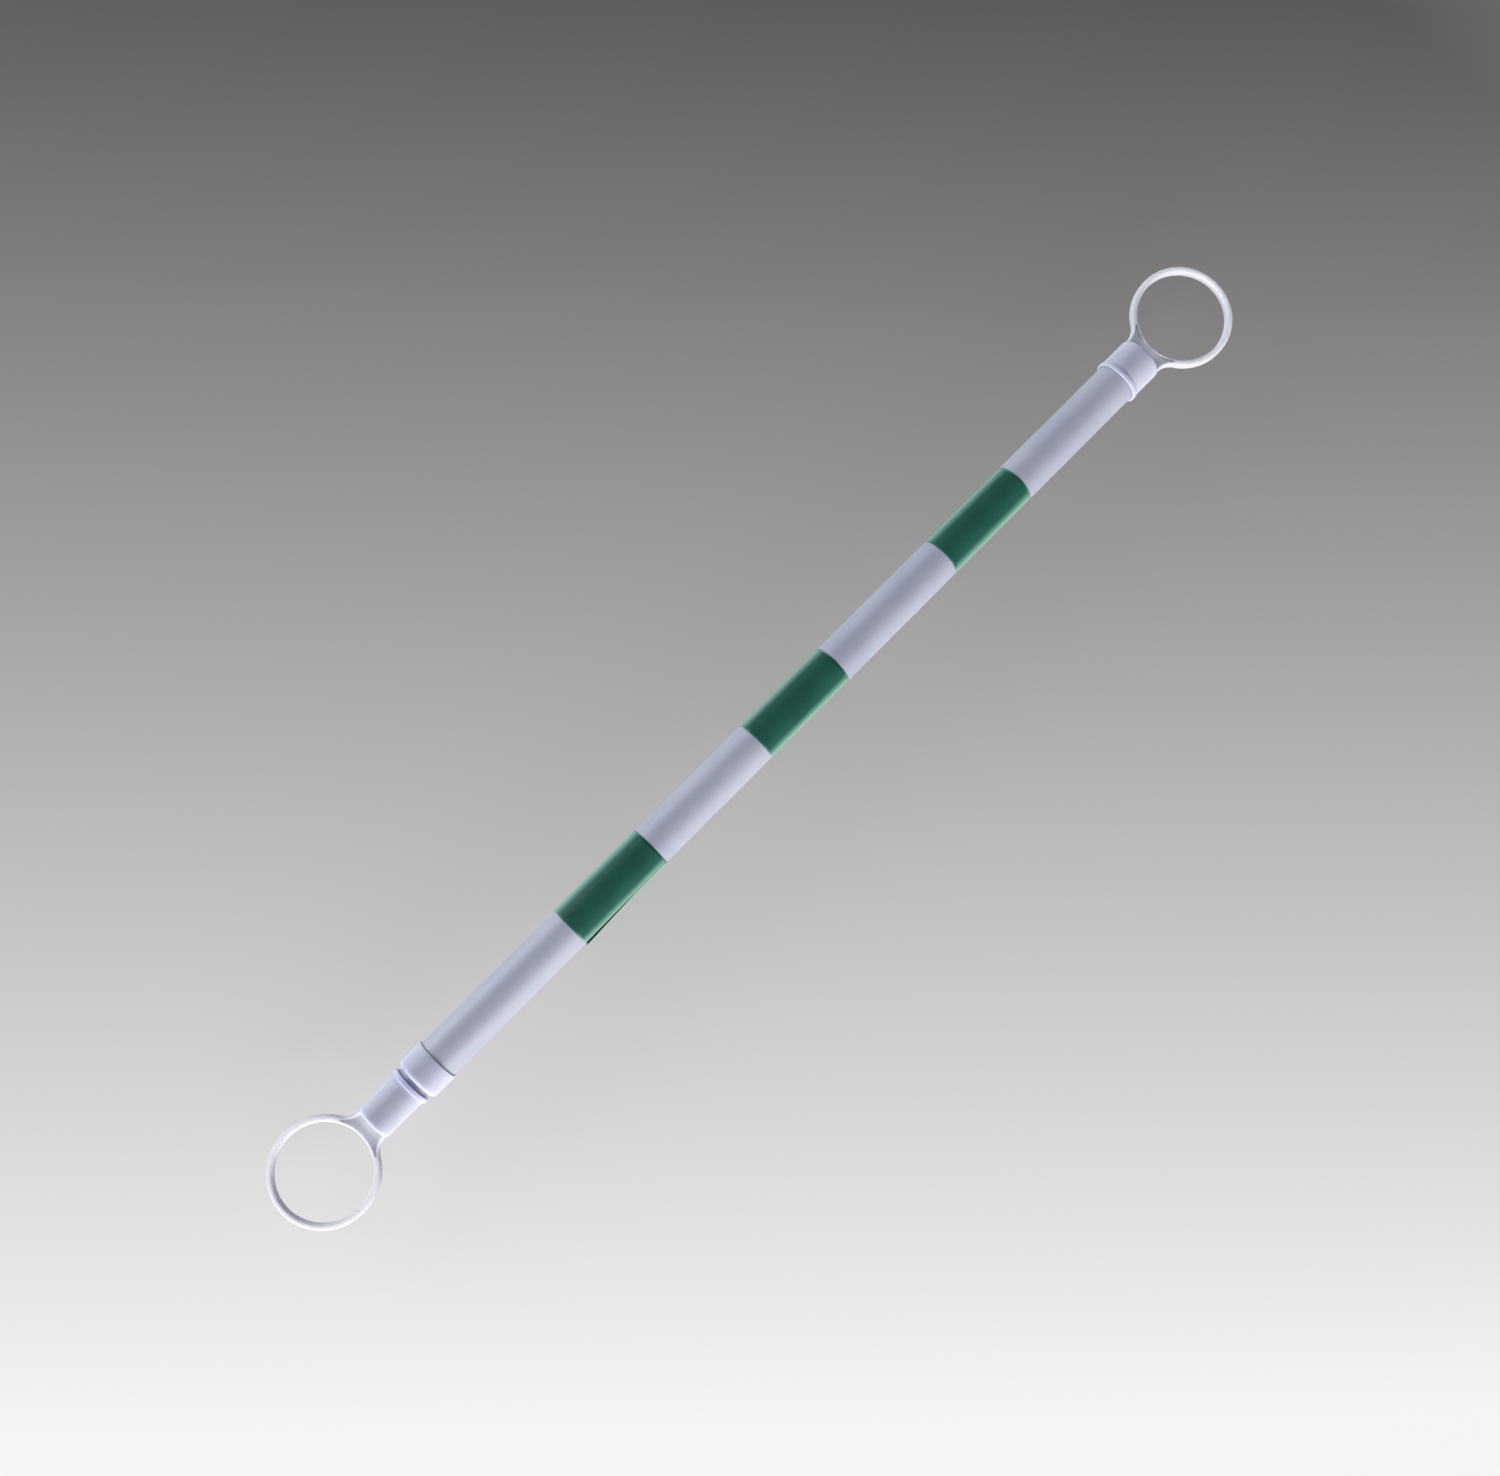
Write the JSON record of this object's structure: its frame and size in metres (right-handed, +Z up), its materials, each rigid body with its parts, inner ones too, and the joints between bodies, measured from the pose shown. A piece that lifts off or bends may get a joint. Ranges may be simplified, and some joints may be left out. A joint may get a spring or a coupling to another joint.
{
  "type": "telescopic cone bar",
  "caption": "Telescopic round barrier bar with banded tube, sliding inner tube, mouth collar and an open ring at each end for hanging on traffic cones.",
  "frame": {"origin": "centre of the fixed ring's bore, on the bar's axis", "axes": "+X along the bar from the fixed ring to the sliding ring, +Z up along the bores of both rings"},
  "size_m": [1.193, 0.097, 0.0446],
  "materials": {
    "white_tube": "satin extruded plastic",
    "white_moulding": "satin moulded plastic",
    "green_film": "retroreflective film",
    "lock_plastic": "moulded nylon",
    "black_rubber": "matte rubber",
    "spring_steel": "spring steel"
  },
  "bodies": {
    "outer_section": {"outer_tube": "white_tube", "fixed_ring_end": "white_moulding", "mouth_collar": "white_moulding", "mouth_bush": "lock_plastic", "wiper_ring": "black_rubber", "closing_buffer": "black_rubber", "green_band_1": "green_film", "green_band_2": "green_film", "green_band_3": "green_film"},
    "lock_sleeve": {"lock_expander": "lock_plastic", "lock_drag_ring": "black_rubber"},
    "inner_section": {"inner_tube": "white_tube", "sliding_ring_end": "white_moulding", "stop_sleeve": "lock_plastic", "lock_plug": "lock_plastic", "wedge_clip": "spring_steel", "inner_band_1": "green_film", "inner_band_2": "green_film", "inner_band_3": "green_film"},
    "wedge": {"lock_wedge": "lock_plastic"}
  },
  "joints": [
    {"name": "extension", "type": "slide", "parent": "outer_section", "child": "lock_sleeve", "axis": [1, 0, 0], "range_m": [0, 0.78]},
    {"name": "lock_twist", "type": "hinge", "parent": "lock_sleeve", "child": "inner_section", "pos_m": [0, 0, 0], "axis": [1, 0, 0], "range_deg": [0, 180]},
    {"name": "wedge_draw", "type": "slide", "parent": "lock_sleeve", "child": "wedge", "axis": [1, 0, 0], "range_m": [0, 0.002]}
  ],
  "couplings": [
    {"joint": "wedge_draw", "follows": "lock_twist", "m_per_rad": 0.0006366}
  ]
}
